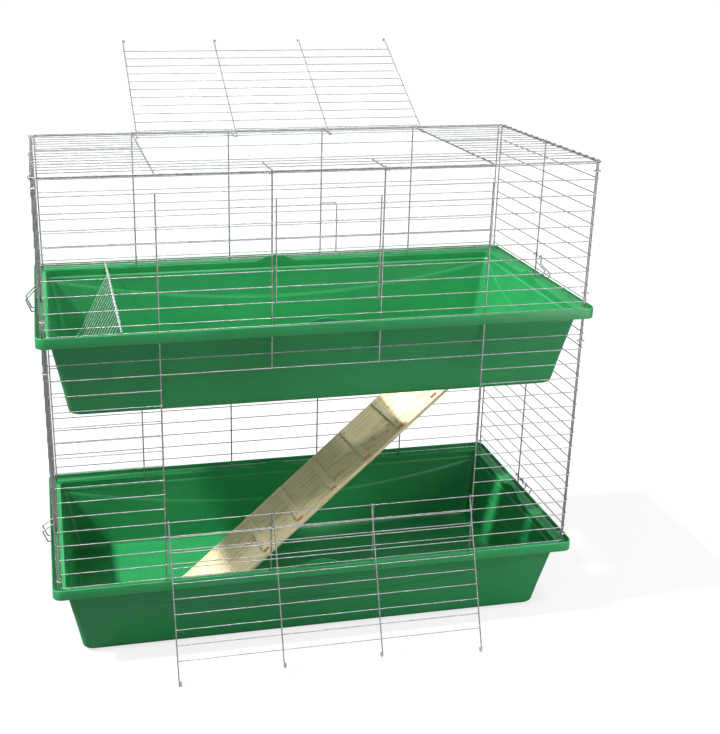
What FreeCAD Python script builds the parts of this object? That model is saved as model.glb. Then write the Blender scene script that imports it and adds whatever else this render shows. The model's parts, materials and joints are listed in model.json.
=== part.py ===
import FreeCAD, Part
import math
import os

# Two-storey wire rabbit cage. Millimetres, +Z up, X along the cage, front towards -Y.
# The origin is on the floor, at the centre of the lower tray's footprint.

# ---- driving dimensions ----
TRAY_LENGTH = 1190.0
TRAY_WIDTH = 600.0
TRAY_DEPTH = 191.0
RIM_CORNER = 20.0
PLASTIC = 2.5
FOOT_HEIGHT = 4.0
LEVEL_PITCH = 566.5
CAGE_TOP = 1075.2

THICK_WIRE = 1.7
THIN_WIRE = 1.1
DOOR_WIRE = 1.5
CLIP_WIRE = 1.0
WELD_BITE = 0.1
CLEARANCE = 0.3

LOWER_RIM = FOOT_HEIGHT + TRAY_DEPTH
UPPER_RIM = LOWER_RIM + LEVEL_PITCH
BAY = 232.3
UPRIGHTS = [(i - 1.5) * BAY for i in range(4)]
END_UPRIGHT = 574.5
BAR_END = 576.5
SIDE_UPRIGHT = 271.0
SIDE_BAR_END = 273.0

# ---- tray rim, as insets from the outer face and depths below the rim's top ----
BAND_DEPTH = 23.0
LEDGE_INNER = 26.5
LEDGE_DEPTH = 12.4
UPSTAND_DEPTH = 11.0
TAB_HALF_LENGTH = 50.0
TAB_RISE = 4.0

# Tray wall stations: depth below the rim, inset from the outer face, corner radius.
INNER_CORNER = 15.0
WALL_OUTSIDE = [
    (UPSTAND_DEPTH, LEDGE_INNER, INNER_CORNER),
    (27.0, LEDGE_INNER, INNER_CORNER),
    (30.0, 29.0, INNER_CORNER),
    (176.0, 56.7, 20.0),
    (187.0, 61.5, 20.0),
    (191.0, 71.0, 16.0),
]
WALL_INSIDE = [
    (UPSTAND_DEPTH - 1.0, 29.0, INNER_CORNER - PLASTIC),
    (27.5, 29.0, INNER_CORNER - PLASTIC),
    (30.5, 31.6, INNER_CORNER - PLASTIC),
    (175.3, 59.1, 17.5),
    (185.0, 63.5, 17.5),
    (188.5, 72.0, 14.0),
]

# ---- tray feet, moulded in the underside: x places, y places, and the length and width of one ----
FOOT_X = (-487.0, -433.0, 412.0, 462.0)
FOOT_Y = (-196.0, 196.0)
FOOT_SIZE = (26.0, 14.0)
MIDDLE_FOOT_SIZE = (60.0, 40.0)

# ---- planes of the wire walls: uprights inside, thin bars outside ----
UPRIGHT_TO_BAR = THICK_WIRE + THIN_WIRE - WELD_BITE
FRONT_UPRIGHT_Y = 277.5
FRONT_BAR_Y = FRONT_UPRIGHT_Y + UPRIGHT_TO_BAR
SIDE_UPRIGHT_X = 581.0
SIDE_BAR_X = SIDE_UPRIGHT_X + UPRIGHT_TO_BAR

# ---- wire levels ----
LOWER_BAR_TOP = 697.5
LOWER_BAR_PITCH = 33.8
LOWER_BARS = [LOWER_BAR_TOP - i * LOWER_BAR_PITCH for i in range(16)]
LOWER_EDGE = UPPER_RIM - LEDGE_DEPTH - PLASTIC - THIN_WIRE - CLEARANCE
UPPER_BAR_TOP = 1071.5
UPPER_BAR_PITCH = 33.2
UPPER_BARS = [UPPER_BAR_TOP - i * UPPER_BAR_PITCH for i in range(10)]
UPPER_EDGE = UPPER_RIM - 4.5
UPRIGHT_TOP = CAGE_TOP - THICK_WIRE - CLEARANCE

# ---- top panel ----
TOP_EDGE_Y = 279.0
TOP_EDGE_X = 581.5
TOP_BAR_PITCH = 2 * TOP_EDGE_Y / 17
TOP_BARS = [TOP_EDGE_Y - i * TOP_BAR_PITCH for i in range(1, 17)]
TOP_BAR_Z = CAGE_TOP + UPRIGHT_TO_BAR
TOP_DOOR_FIRST = 2
TOP_DOOR_LAST = 13

# ---- doors ----
EYE_RADIUS = THIN_WIRE + CLEARANCE + DOOR_WIRE
EYE_SWEEP = 250.0
DOOR_BAR_OFFSET = DOOR_WIRE + THIN_WIRE - WELD_BITE
TOP_DOOR_LEAN = 28.3
TOP_DOOR_WIRES = (-342.5, -111.0, 111.0, 342.5)
TOP_DOOR_LENGTH = 407.0
TOP_DOOR_HALF_WIDTH = 344.5
TOP_DOOR_BARS = 11
LOWER_DOOR_HINGE = 11
LOWER_DOOR_TOP = 1
LOWER_DOOR_HANG = 22.7
LOWER_DOOR_OUTER_WIRE = 341.5
LOWER_DOOR_INNER_WIRE = 111.2
LOWER_DOOR_OUTER_LENGTH = 350.5
LOWER_DOOR_INNER_LENGTH = 336.0
LOWER_DOOR_HALF_WIDTH = 343.5
LOWER_DOOR_PITCH = 33.0
LOWER_DOOR_BARS = 9
SMALL_DOOR_HINGE = 8
SMALL_DOOR_TOP = 2
SMALL_DOOR_WIRE_X = 108.5
SMALL_DOOR_LENGTH = 216.0
SMALL_DOOR_OVERHANG = 2.0
SMALL_DOOR_BARS = 5

# ---- latch of the small door ----
LATCH_WIRE = 1.3
LATCH_HALF_WIDTH = 16.5
LATCH_BOTTOM = 902.0
LATCH_TOP = 1008.0
LATCH_BEND = 6.0
LATCH_Y = -(FRONT_BAR_Y - THIN_WIRE - LATCH_WIRE - CLEARANCE)
LATCH_GUIDE_WIRE = 0.8
LATCH_GUIDE_LEVELS = (3, 4)

# ---- bails ----
BAIL_HALF_WIDTH = 15.0
BAIL_APEX_X = TRAY_LENGTH / 2 + 18.0
BAIL_FOOT_X = TRAY_LENGTH / 2 + 7.0
BAIL_HOOK_X = TRAY_LENGTH / 2 - 1.0
BAIL_HOOK_DEPTH = 27.0
BAIL_STRAIGHT = 0.4
BAIL_BEND = 3.0
CLIP_TO_WIRE = 0.15
CLIP_BESIDE_UPRIGHT = 6.0

# ---- hay rack ----
RACK_WIRE = 2.0
RACK_X = -424.0
RACK_REACH = 281.6
RACK_FOOT_X = -502.5
RACK_FOOT_Z = 608.0
RACK_SLATS = 15
RACK_SLAT_PITCH = 29.0
RACK_FIRST_SLAT = 197.0
RACK_FOOT_WIRE = 0.985

# ---- ramp and its hole in the upper floor ----
LOWER_FLOOR = FOOT_HEIGHT + PLASTIC
UPPER_FLOOR = LOWER_FLOOR + LEVEL_PITCH
RAMP_TOP = FreeCAD.Vector(370.0, -23.0, UPPER_FLOOR)
RAMP_INCLINE = 39.7
RAMP_YAW = 6.5
RAMP_RUN = 887.0
RAMP_WIDTH = 182.0
RAMP_THICKNESS = 9.0
CLEAT_LENGTH = 164.0
CLEAT_WIDTH = 16.0
CLEAT_HEIGHT = 6.0
CLEAT_PITCH = 105.9
CLEAT_COUNT = 8
TOP_CLEAT_EDGE = 794.9
NAIL_RADIUS = 0.9
NAIL_LENGTH = 12.0
NAIL_HEAD = 2.0
NAIL_HEAD_THICKNESS = 0.6
NAIL_OFFSET = 62.0
HOLE_X = (130.0, 384.0)
HOLE_Y = (-135.0, 90.0)
HOLE_FREE_CORNER = 30.0
HOLE_HOOK_CORNER = 12.0
COLLAR_HEIGHT = 12.0
BEAD_RADIUS = 2.5
HOOK_CLEARANCE = 0.9
HOOK_THICKNESS = 2.0
HOOK_WIDTH = 10.0
HOOK_LEG = 46.0
SCREW_PLACES = (-14.0, -34.0)
SCREW_RADIUS = 1.2
SCREW_DEPTH = 5.0
SCREW_HEAD = 3.0

X_AXIS = FreeCAD.Vector(1, 0, 0)
Y_AXIS = FreeCAD.Vector(0, 1, 0)
Z_AXIS = FreeCAD.Vector(0, 0, 1)


def vec(x, y, z):
    return FreeCAD.Vector(x, y, z)


# ---- wire helpers ----

def rod(start, end, radius):
    """Straight round wire between two points."""
    run = end - start
    return Part.makeCylinder(radius, run.Length, start, run)


def disc(centre, normal, radius):
    return Part.Face(Part.Wire(Part.makeCircle(radius, centre, normal)))


def ring(centre, axis, start, radius, sweep):
    """Part of a wire ring about an axis, starting at the offset start from its centre."""
    section = disc(centre + start, axis.cross(start), radius)
    return section.revolve(centre, axis, sweep)


def bent_wire(points, radius, bend):
    """Round wire along straight runs, joined by tangent arcs of one bend radius."""
    edges = []
    last = points[0]
    for before, corner, after in zip(points, points[1:], points[2:]):
        back = (before - corner).normalize()
        ahead = (after - corner).normalize()
        half_angle = back.getAngle(ahead) / 2
        cut = bend / math.tan(half_angle)
        entry = corner + back * cut
        leave = corner + ahead * cut
        inward = (back + ahead).normalize()
        middle = corner + inward * (bend / math.sin(half_angle) - bend)
        edges.append(Part.LineSegment(last, entry).toShape())
        edges.append(Part.Arc(entry, middle, leave).toShape())
        last = leave
    edges.append(Part.LineSegment(last, points[-1]).toShape())
    section = Part.Wire(Part.makeCircle(radius, points[0], points[1] - points[0]))
    return Part.Wire(edges).makePipeShell([section], True, True)


def binding_ring(first, first_radius, second, second_radius, axis, sweep=320.0):
    """Open wire ring round two parallel wires, with its gap facing the second one."""
    apart = second - first
    span = apart.Length + first_radius + second_radius
    away = vec(-apart.x, -apart.y, -apart.z).normalize()
    centre = first - away * (span / 2 - first_radius)
    radius = span / 2 + CLIP_TO_WIRE + CLIP_WIRE
    start = FreeCAD.Rotation(axis, 180.0 - sweep / 2).multVec(away * radius)
    return ring(centre, axis, start, CLIP_WIRE, sweep)


# ---- trays ----

def rounded_rectangle(inset, corner, z):
    """Closed outline of the tray's plan, moved in by an inset."""
    half_x = TRAY_LENGTH / 2 - inset
    half_y = TRAY_WIDTH / 2 - inset
    edges = []
    for quarter in range(4):
        sign_x = (1, -1, -1, 1)[quarter]
        sign_y = (1, 1, -1, -1)[quarter]
        centre = vec(sign_x * (half_x - corner), sign_y * (half_y - corner), z)
        circle = Part.Circle(centre, Z_AXIS, corner)
        edges.append(Part.ArcOfCircle(circle, quarter * math.pi / 2, (quarter + 1) * math.pi / 2).toShape())
    outline = []
    for arc, following in zip(edges, edges[1:] + edges[:1]):
        outline.append(arc)
        outline.append(Part.LineSegment(arc.Vertexes[-1].Point, following.Vertexes[0].Point).toShape())
    return Part.Wire(outline)


def rim_corner(inset):
    """Corner radius of the rim: the band follows the outer face, and the ledge meets the inner wall."""
    if inset < LEDGE_INNER:
        return RIM_CORNER - inset
    return INNER_CORNER + LEDGE_INNER - inset


def rim_ring(outer_inset, inner_inset, rim_z, top_depth, bottom_depth):
    """Straight ring of the rim between two insets and two depths."""
    height = bottom_depth - top_depth
    walls = []
    for inset in (outer_inset, inner_inset):
        outline = rounded_rectangle(inset, rim_corner(inset), rim_z - bottom_depth)
        walls.append(Part.Face(outline).extrude(vec(0, 0, height)))
    return walls[0].cut(walls[1])


def lofted(stations, rim_z):
    outlines = [rounded_rectangle(inset, corner, rim_z - depth) for depth, inset, corner in stations]
    return Part.makeLoft(outlines, True, True)


def wire_tab(rim_z, angle, reach):
    """Arched tab on the inner edge of the ledge, at the middle of one side."""
    base = rim_z - UPSTAND_DEPTH - 1.0
    outer = reach - LEDGE_INNER
    ends = [vec(-TAB_HALF_LENGTH, outer, base), vec(TAB_HALF_LENGTH, outer, base)]
    crown = Part.Arc(ends[0], vec(0, outer, rim_z + TAB_RISE), ends[1]).toShape()
    face = Part.Face(Part.Wire([crown, Part.LineSegment(ends[1], ends[0]).toShape()]))
    tab = face.extrude(vec(0, -PLASTIC, 0))
    tab.rotate(vec(0, 0, 0), Z_AXIS, angle)
    return tab


def tray(rim_z):
    """Moulded tray: a rim band with a ledge for the wire walls, drafted walls, a floor and feet."""
    shell = lofted(WALL_OUTSIDE, rim_z).cut(lofted(WALL_INSIDE, rim_z))
    pieces = [
        rim_ring(0, PLASTIC, rim_z, 0, BAND_DEPTH),
        rim_ring(0, LEDGE_INNER + PLASTIC, rim_z, LEDGE_DEPTH, LEDGE_DEPTH + PLASTIC),
    ]
    for angle, reach in ((0, TRAY_WIDTH), (90, TRAY_LENGTH), (180, TRAY_WIDTH), (270, TRAY_LENGTH)):
        pieces.append(wire_tab(rim_z, angle, reach / 2))
    underside = rim_z - TRAY_DEPTH
    feet = [(x, y, *FOOT_SIZE) for x in FOOT_X for y in FOOT_Y] + [(0.0, 0.0, *MIDDLE_FOOT_SIZE)]
    for x, y, length, width in feet:
        corner = vec(x - length / 2, y - width / 2, underside - FOOT_HEIGHT)
        pieces.append(Part.makeBox(length, width, FOOT_HEIGHT, corner))
    return shell.multiFuse(pieces).removeSplitter()


def hole_block(grow, bottom, height):
    """Block with the ramp hole's plan: round corners, larger away from the ramp's hook."""
    length = HOLE_X[1] - HOLE_X[0] + 2 * grow
    width = HOLE_Y[1] - HOLE_Y[0] + 2 * grow
    block = Part.makeBox(length, width, height, vec(HOLE_X[0] - grow, HOLE_Y[0] - grow, bottom))
    corners = ((HOLE_X[0] - grow, HOLE_FREE_CORNER + grow), (HOLE_X[1] + grow, HOLE_HOOK_CORNER + grow))
    for x, radius in corners:
        upright = [edge for edge in block.Edges
                   if edge.BoundBox.ZLength > height / 2 and abs(edge.CenterOfMass.x - x) < 0.01]
        block = block.makeFillet(radius, upright)
    return block


def tray_with_ramp_hole():
    """Upper tray, with a low collar round the ramp hole and a bead that the ramp hooks on."""
    collar = hole_block(PLASTIC, UPPER_FLOOR - 1, COLLAR_HEIGHT + 1)
    hole = hole_block(0, UPPER_FLOOR - 2 * COLLAR_HEIGHT, 4 * COLLAR_HEIGHT)
    bead_x = HOLE_X[1] + PLASTIC / 2
    bead = rod(vec(bead_x, HOLE_Y[0] + HOLE_HOOK_CORNER, UPPER_FLOOR + COLLAR_HEIGHT),
               vec(bead_x, HOLE_Y[1] - HOLE_HOOK_CORNER, UPPER_FLOOR + COLLAR_HEIGHT), BEAD_RADIUS)
    return tray(UPPER_RIM).fuse(collar).cut(hole).fuse(bead).removeSplitter()


# ---- wall panels ----

def wall_wire(side, across, low, high):
    """Upright of one wall; across is its place along the wall."""
    if side in ("front", "back"):
        y = FRONT_UPRIGHT_Y * (-1 if side == "front" else 1)
        return rod(vec(across, y, low), vec(across, y, high), THICK_WIRE)
    x = SIDE_UPRIGHT_X * (-1 if side == "left" else 1)
    return rod(vec(x, across, low), vec(x, across, high), THICK_WIRE)


def wall_bar(side, start, end, z):
    """Thin level bar of one wall, welded outside its uprights."""
    if side in ("front", "back"):
        y = FRONT_BAR_Y * (-1 if side == "front" else 1)
        return rod(vec(start, y, z), vec(end, y, z), THIN_WIRE)
    x = SIDE_BAR_X * (-1 if side == "left" else 1)
    return rod(vec(x, start, z), vec(x, end, z), THIN_WIRE)


def plain_wall(side, levels, foot, head):
    """Wall panel with every bar running its full length."""
    if side in ("left", "right"):
        places, reach = (-SIDE_UPRIGHT, 0.0, SIDE_UPRIGHT), SIDE_BAR_END
    else:
        places, reach = (-END_UPRIGHT, *UPRIGHTS, END_UPRIGHT), BAR_END
    wires = [wall_wire(side, place, foot, head) for place in places]
    wires += [wall_bar(side, -reach, reach, z) for z in levels]
    return wires


def lower_front_wall(levels, foot, head):
    """Lower front panel: the bars stop at the second and fifth uprights beside the door."""
    bottom = LOWER_BARS[LOWER_DOOR_HINGE]
    top = LOWER_BARS[LOWER_DOOR_TOP]
    first, last = UPRIGHTS[0], UPRIGHTS[-1]
    wires = [wall_wire("front", x, foot, head) for x in (-END_UPRIGHT, first, last, END_UPRIGHT)]
    for x in UPRIGHTS[1:3]:
        wires.append(wall_wire("front", x, foot, bottom + THIN_WIRE))
        wires.append(wall_wire("front", x, top - THIN_WIRE, head))
    for z in levels:
        if bottom < z < top:
            wires.append(wall_bar("front", -BAR_END, first + THICK_WIRE, z))
            wires.append(wall_bar("front", last - THICK_WIRE, BAR_END, z))
        else:
            wires.append(wall_bar("front", -BAR_END, BAR_END, z))
    return wires


def upper_front_wall(levels, foot, head):
    """Upper front panel: the small door fills the middle bay, and its outer neighbours start a bar lower."""
    bottom = UPPER_BARS[SMALL_DOOR_HINGE]
    top = UPPER_BARS[SMALL_DOOR_TOP]
    wires = [wall_wire("front", x, foot, head) for x in (-END_UPRIGHT, *UPRIGHTS[1:3], END_UPRIGHT)]
    for x in (UPRIGHTS[0], UPRIGHTS[-1]):
        wires.append(wall_wire("front", x, foot, UPPER_BARS[1] + THIN_WIRE))
    for z in levels:
        if bottom < z < top:
            wires.append(wall_bar("front", -BAR_END, UPRIGHTS[1] + THICK_WIRE, z))
            wires.append(wall_bar("front", UPRIGHTS[2] - THICK_WIRE, BAR_END, z))
        else:
            wires.append(wall_bar("front", -BAR_END, BAR_END, z))
    return wires


def top_panel():
    """Top panel: edge wires and cross wires below, thin bars on top, and the door opening."""
    butt_x = TOP_EDGE_X - THICK_WIRE
    butt_y = TOP_EDGE_Y - THICK_WIRE
    reach = TOP_EDGE_X + THICK_WIRE
    wires = []
    for sign in (-1, 1):
        wires.append(rod(vec(-butt_x, sign * TOP_EDGE_Y, CAGE_TOP), vec(butt_x, sign * TOP_EDGE_Y, CAGE_TOP),
                         THICK_WIRE))
        wires.append(rod(vec(sign * TOP_EDGE_X, -TOP_EDGE_Y - THICK_WIRE, CAGE_TOP),
                         vec(sign * TOP_EDGE_X, TOP_EDGE_Y + THICK_WIRE, CAGE_TOP), THICK_WIRE))
    back, front = TOP_BARS[TOP_DOOR_FIRST], TOP_BARS[TOP_DOOR_LAST]
    for x in UPRIGHTS:
        if abs(x) > BAY:
            wires.append(rod(vec(x, -butt_y, CAGE_TOP), vec(x, butt_y, CAGE_TOP), THICK_WIRE))
        else:
            wires.append(rod(vec(x, -butt_y, CAGE_TOP), vec(x, front + THIN_WIRE, CAGE_TOP), THICK_WIRE))
            wires.append(rod(vec(x, back - THIN_WIRE, CAGE_TOP), vec(x, butt_y, CAGE_TOP), THICK_WIRE))
    for y in TOP_BARS:
        if front < y < back:
            inner = UPRIGHTS[-1] - THICK_WIRE
            wires.append(rod(vec(-reach, y, TOP_BAR_Z), vec(-inner, y, TOP_BAR_Z), THIN_WIRE))
            wires.append(rod(vec(inner, y, TOP_BAR_Z), vec(reach, y, TOP_BAR_Z), THIN_WIRE))
        else:
            wires.append(rod(vec(-reach, y, TOP_BAR_Z), vec(reach, y, TOP_BAR_Z), THIN_WIRE))
    return wires


# ---- doors ----

def grid_door(hinge_y, hinge_z, angle, side, wires, bar_distances, bar_half, bar_side):
    """Door wires, bars and hinge eyes about a hinge bar along X.

    The door is drawn along +Y from the hinge, with its wires on the given side of it, and then
    turned up by an angle. wires holds each wire's x and length.
    """
    offset = side * EYE_RADIUS
    grid = [rod(vec(x, 0, offset), vec(x, length, offset), DOOR_WIRE) for x, length in wires]
    level = offset + bar_side * DOOR_BAR_OFFSET
    grid += [rod(vec(-bar_half, d, level), vec(bar_half, d, level), THIN_WIRE) for d in bar_distances]
    eyes = [ring(vec(x, 0, 0), X_AXIS * side, vec(0, 0, offset), DOOR_WIRE, EYE_SWEEP) for x, length in wires]
    for shape in grid + eyes:
        shape.rotate(vec(0, 0, 0), X_AXIS, angle)
        shape.translate(vec(0, hinge_y, hinge_z))
    return grid, eyes


def top_door():
    wires = [(x, TOP_DOOR_LENGTH) for x in TOP_DOOR_WIRES]
    distances = [TOP_BAR_PITCH * i for i in range(1, TOP_DOOR_BARS + 1)]
    return grid_door(TOP_BARS[TOP_DOOR_FIRST], TOP_BAR_Z, TOP_DOOR_LEAN, -1, wires, distances,
                     TOP_DOOR_HALF_WIDTH, -1)


def lower_front_door():
    wires = []
    for sign in (-1, 1):
        wires.append((sign * LOWER_DOOR_OUTER_WIRE, LOWER_DOOR_OUTER_LENGTH))
        wires.append((sign * LOWER_DOOR_INNER_WIRE, LOWER_DOOR_INNER_LENGTH))
    distances = [LOWER_DOOR_PITCH * i for i in range(1, LOWER_DOOR_BARS + 1)]
    return grid_door(-FRONT_BAR_Y, LOWER_BARS[LOWER_DOOR_HINGE], 270.0 - LOWER_DOOR_HANG, 1, wires,
                     distances, LOWER_DOOR_HALF_WIDTH, 1)


def upper_front_door():
    wires = [(x, SMALL_DOOR_LENGTH) for x in (-SMALL_DOOR_WIRE_X, SMALL_DOOR_WIRE_X)]
    distances = [UPPER_BAR_PITCH * i for i in range(1, SMALL_DOOR_BARS + 1)]
    return grid_door(-FRONT_BAR_Y, UPPER_BARS[SMALL_DOOR_HINGE], 90.0, 1, wires, distances,
                     SMALL_DOOR_WIRE_X + SMALL_DOOR_OVERHANG, -1)


def latch():
    """Sliding wire loop: its top sits behind the bar above the small door."""
    places = [vec(-LATCH_HALF_WIDTH, LATCH_Y, LATCH_BOTTOM), vec(-LATCH_HALF_WIDTH, LATCH_Y, LATCH_TOP),
              vec(LATCH_HALF_WIDTH, LATCH_Y, LATCH_TOP), vec(LATCH_HALF_WIDTH, LATCH_Y, LATCH_BOTTOM)]
    return [bent_wire(places, LATCH_WIRE, LATCH_BEND)]


def latch_guides():
    """Rings on the small door's bars that the latch slides in."""
    radius = LATCH_WIRE + CLEARANCE + LATCH_GUIDE_WIRE
    rings = []
    for x in (-LATCH_HALF_WIDTH, LATCH_HALF_WIDTH):
        for level in LATCH_GUIDE_LEVELS:
            z = UPPER_BARS[level] + THIN_WIRE + LATCH_GUIDE_WIRE
            rings.append(Part.makeTorus(radius, LATCH_GUIDE_WIRE, vec(x, LATCH_Y, z), Z_AXIS))
    return rings


# ---- bails, clips and rack ----

def bail(sign, pivot_z, rim_z):
    """Wire loop that hangs on a side bar and hooks under the tray's rim."""
    start = vec(SIDE_BAR_X + EYE_RADIUS, 0, pivot_z)
    apex = vec(BAIL_APEX_X, 0, rim_z)
    foot = vec(BAIL_FOOT_X, 0, rim_z - BAIL_HOOK_DEPTH)
    hook = vec(BAIL_HOOK_X, 0, rim_z - BAIL_HOOK_DEPTH)
    lean = apex - start
    profile = [start, start + vec(0, 0, -BAIL_STRAIGHT * abs(lean.z)), apex, foot, hook]
    side = vec(0, BAIL_HALF_WIDTH, 0)
    route = [p - side for p in profile] + [p + side for p in reversed(profile)]
    loop = bent_wire(route, DOOR_WIRE, BAIL_BEND)
    eyes = []
    for y in (-BAIL_HALF_WIDTH, BAIL_HALF_WIDTH):
        centre = vec(SIDE_BAR_X, y, pivot_z)
        eyes.append(ring(centre, Y_AXIS * -1, vec(EYE_RADIUS, 0, 0), DOOR_WIRE, EYE_SWEEP))
    wire = loop.fuse(eyes).removeSplitter()
    if sign < 0:
        wire = wire.mirror(vec(0, 0, 0), X_AXIS)
    return [wire]


def top_clips():
    """Rings that bind the top panel's edge to the wall panels' top bars."""
    clips = []
    edge_z = CAGE_TOP
    bar_z = UPPER_BARS[0]
    for sign in (-1, 1):
        for y in (-TOP_EDGE_Y + TOP_BAR_PITCH / 2, TOP_BAR_PITCH / 4, TOP_EDGE_Y - TOP_BAR_PITCH / 2):
            clips.append(binding_ring(vec(sign * TOP_EDGE_X, y, edge_z), THICK_WIRE,
                                      vec(sign * SIDE_BAR_X, y, bar_z), THIN_WIRE, Y_AXIS))
        for x in (UPRIGHTS[1] - CLIP_BESIDE_UPRIGHT, UPRIGHTS[2] + CLIP_BESIDE_UPRIGHT):
            clips.append(binding_ring(vec(x, sign * TOP_EDGE_Y, edge_z), THICK_WIRE,
                                      vec(x, sign * FRONT_BAR_Y, bar_z), THIN_WIRE, X_AXIS))
    return clips


def corner_clips(levels):
    """Rings that bind neighbouring wall panels at the four corners."""
    clips = []
    for z in levels:
        for sign_x in (-1, 1):
            for sign_y in (-1, 1):
                clips.append(binding_ring(vec(sign_x * END_UPRIGHT, sign_y * FRONT_UPRIGHT_Y, z), THICK_WIRE,
                                          vec(sign_x * SIDE_UPRIGHT_X, sign_y * SIDE_UPRIGHT, z), THICK_WIRE,
                                          Z_AXIS))
    return clips


def hay_rack():
    """Slanted rack: a thick top wire that lies on the panels' lowest bars, slats, and a foot wire."""
    top_z = UPPER_EDGE + THIN_WIRE + CLEARANCE + RACK_WIRE
    wires = [rod(vec(RACK_X, -RACK_REACH, top_z), vec(RACK_X, RACK_REACH, top_z), RACK_WIRE)]
    down = vec(RACK_FOOT_X - RACK_X, 0, RACK_FOOT_Z - top_z)
    side = vec(down.z, 0, -down.x).normalize() * (RACK_WIRE + THIN_WIRE - WELD_BITE)
    ends = [RACK_FIRST_SLAT - i * RACK_SLAT_PITCH for i in range(RACK_SLATS)]
    for y in ends:
        start = vec(RACK_X, y, top_z) - side
        wires.append(rod(start, start + down, THIN_WIRE))
    foot = vec(RACK_X, 0, top_z) + down * RACK_FOOT_WIRE
    foot_ends = (ends[-1] - THIN_WIRE, ends[0] + THIN_WIRE)
    wires.append(rod(foot + vec(0, foot_ends[0], 0), foot + vec(0, foot_ends[1], 0), RACK_WIRE))
    return wires


# ---- ramp, drawn with +X uphill, Z=0 on its top face and the origin at the top edge's middle ----

def place_ramp(shapes):
    for shape in shapes:
        shape.rotate(vec(0, 0, 0), Y_AXIS, -RAMP_INCLINE)
        shape.rotate(vec(0, 0, 0), Z_AXIS, RAMP_YAW)
        shape.translate(RAMP_TOP)
    return shapes


def ramp_board():
    """Board with a square foot, whose lower edge stands just above the lower floor."""
    lift = RAMP_THICKNESS * math.cos(math.radians(RAMP_INCLINE)) + CLEARANCE
    length = RAMP_RUN - lift / math.sin(math.radians(RAMP_INCLINE))
    board = Part.makeBox(length, RAMP_WIDTH, RAMP_THICKNESS, vec(-length, -RAMP_WIDTH / 2, -RAMP_THICKNESS))
    return place_ramp([board])


def cleat_edges():
    """Distance from the ramp's top edge to each cleat's uphill edge."""
    return [RAMP_RUN - TOP_CLEAT_EDGE + i * CLEAT_PITCH for i in range(CLEAT_COUNT)]


def ramp_cleats():
    cleats = []
    for edge in cleat_edges():
        cleats.append(Part.makeBox(CLEAT_WIDTH, CLEAT_LENGTH, CLEAT_HEIGHT,
                                   vec(-edge - CLEAT_WIDTH, -CLEAT_LENGTH / 2, 0)))
    return place_ramp(cleats)


def ramp_nails():
    nails = []
    for edge in cleat_edges():
        for y in (-NAIL_OFFSET, NAIL_OFFSET):
            x = -edge - CLEAT_WIDTH / 2
            shank = Part.makeCylinder(NAIL_RADIUS, NAIL_LENGTH, vec(x, y, CLEAT_HEIGHT - NAIL_LENGTH))
            head = Part.makeCylinder(NAIL_HEAD, NAIL_HEAD_THICKNESS, vec(x, y, CLEAT_HEIGHT))
            nails.append(shank.fuse(head))
    return place_ramp(nails)


def ramp_hook():
    """Flat steel hook: a leg on the board, a rise beside the collar and a half turn over its bead."""
    incline = math.radians(RAMP_INCLINE)
    slope = math.tan(incline)
    inner = BEAD_RADIUS + HOOK_CLEARANCE
    outer = inner + HOOK_THICKNESS
    run = (HOLE_X[1] + PLASTIC / 2 - outer - RAMP_TOP.x) / math.cos(math.radians(RAMP_YAW))
    leg_end = vec(-HOOK_LEG * math.cos(incline), 0, -HOOK_LEG * math.sin(incline))
    normal = vec(-math.sin(incline), 0, math.cos(incline)) * HOOK_THICKNESS
    knee = vec(run + HOOK_THICKNESS, 0, (run + HOOK_THICKNESS) * slope)
    knee_top = vec(run, 0, run * slope + HOOK_THICKNESS / math.cos(incline))
    bead = vec(run + outer, 0, COLLAR_HEIGHT)
    lines = [
        Part.LineSegment(leg_end, knee).toShape(),
        Part.LineSegment(knee, bead - vec(inner, 0, 0)).toShape(),
        Part.Arc(bead - vec(inner, 0, 0), bead + vec(0, 0, inner), bead + vec(inner, 0, 0)).toShape(),
        Part.LineSegment(bead + vec(inner, 0, 0), bead + vec(outer, 0, 0)).toShape(),
        Part.Arc(bead + vec(outer, 0, 0), bead + vec(0, 0, outer), bead - vec(outer, 0, 0)).toShape(),
        Part.LineSegment(bead - vec(outer, 0, 0), knee_top).toShape(),
        Part.LineSegment(knee_top, leg_end + normal).toShape(),
        Part.LineSegment(leg_end + normal, leg_end).toShape(),
    ]
    hook = Part.Face(Part.Wire(lines)).extrude(vec(0, HOOK_WIDTH, 0))
    hook.translate(vec(0, -HOOK_WIDTH / 2, 0))
    hook.rotate(vec(0, 0, 0), Z_AXIS, RAMP_YAW)
    hook.translate(RAMP_TOP)
    return [hook]


def ramp_hook_screws():
    """Two round-headed screws through the hook's leg."""
    screws = []
    for x in SCREW_PLACES:
        shank = Part.makeCylinder(SCREW_RADIUS, SCREW_DEPTH + HOOK_THICKNESS, vec(x, 0, -SCREW_DEPTH))
        head = Part.makeSphere(SCREW_HEAD, vec(x, 0, HOOK_THICKNESS), Z_AXIS, 0, 90, 360)
        screws.append(shank.fuse(head))
    return place_ramp(screws)


# ---- assembly ----

def clip_levels(bars):
    """Heights of a corner's clips: below its first bar and above its last."""
    return [(bars[0] + bars[1]) / 2, (bars[-2] + bars[-1]) / 2]


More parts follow.
